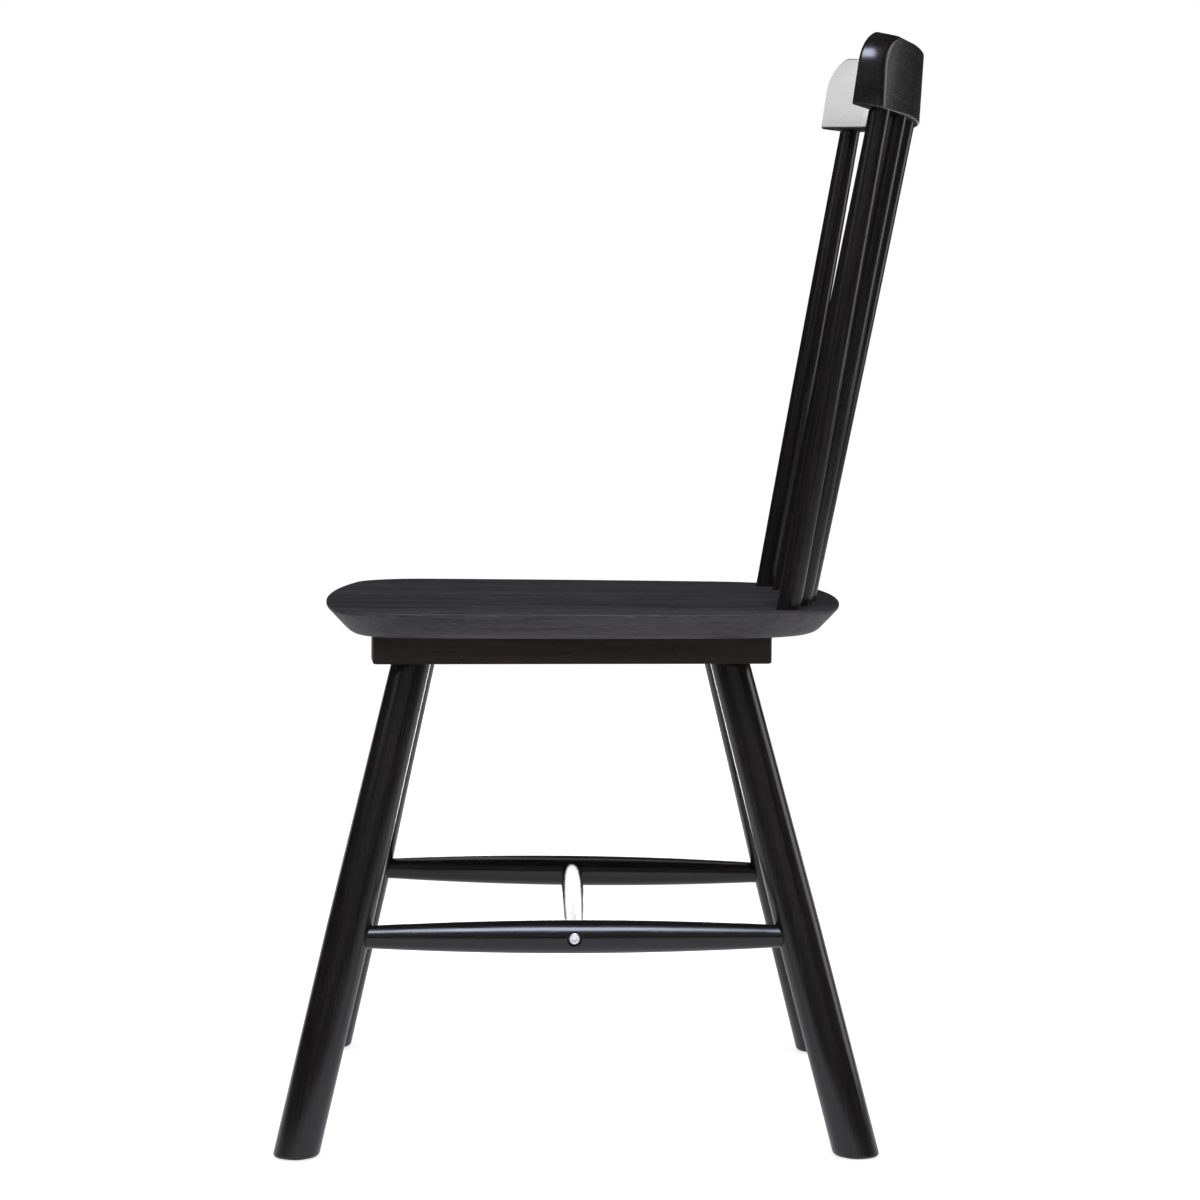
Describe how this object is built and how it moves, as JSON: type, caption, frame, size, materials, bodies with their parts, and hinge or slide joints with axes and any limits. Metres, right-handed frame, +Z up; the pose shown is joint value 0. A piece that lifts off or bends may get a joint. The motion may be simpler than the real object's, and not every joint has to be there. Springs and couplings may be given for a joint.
{
  "type": "spindle-back dining chair",
  "caption": "Armless dining chair: bowed seat board on cleats, splayed turned legs with side and cross stretchers, leaning spindle back under a curved crest rail.",
  "frame": {"origin": "on the floor, under the middle of the chair's overall width and depth", "axes": "+X to the sitter's left, +Y from the front of the seat to the back, +Z up"},
  "size_m": [0.4906, 0.5487, 0.9343],
  "materials": {
    "black_rubberwood": "black stain under satin lacquer, grain just visible",
    "bolt_steel": "bright zinc plating",
    "insert_zinc": "dull zinc, as cast",
    "glide_nylon": "matte moulded nylon"
  },
  "bodies": {
    "root": {"seat_board": "black_rubberwood", "cleat_left": "black_rubberwood", "cleat_right": "black_rubberwood", "leg_front_left": "black_rubberwood", "leg_front_right": "black_rubberwood", "leg_rear_left": "black_rubberwood", "leg_rear_right": "black_rubberwood", "side_stretcher_left": "black_rubberwood", "side_stretcher_right": "black_rubberwood", "cross_stretcher": "black_rubberwood", "crest_rail": "black_rubberwood", "spindle_1": "black_rubberwood", "spindle_2": "black_rubberwood", "spindle_3": "black_rubberwood", "spindle_4": "black_rubberwood", "spindle_5": "black_rubberwood", "spindle_6": "black_rubberwood", "spindle_7": "black_rubberwood", "glide_front_left": "glide_nylon", "glide_front_right": "glide_nylon", "glide_rear_left": "glide_nylon", "glide_rear_right": "glide_nylon", "cross_bolt_left": "bolt_steel", "cross_bolt_right": "bolt_steel", "seat_bolt_front_left": "bolt_steel", "seat_bolt_front_right": "bolt_steel", "seat_bolt_rear_left": "bolt_steel", "seat_bolt_rear_right": "bolt_steel", "seat_washer_front_left": "bolt_steel", "seat_washer_front_right": "bolt_steel", "seat_washer_rear_left": "bolt_steel", "seat_washer_rear_right": "bolt_steel", "cross_insert_left": "insert_zinc", "cross_insert_right": "insert_zinc", "seat_insert_front_left": "insert_zinc", "seat_insert_front_right": "insert_zinc", "seat_insert_rear_left": "insert_zinc", "seat_insert_rear_right": "insert_zinc"}
  },
  "joints": []
}
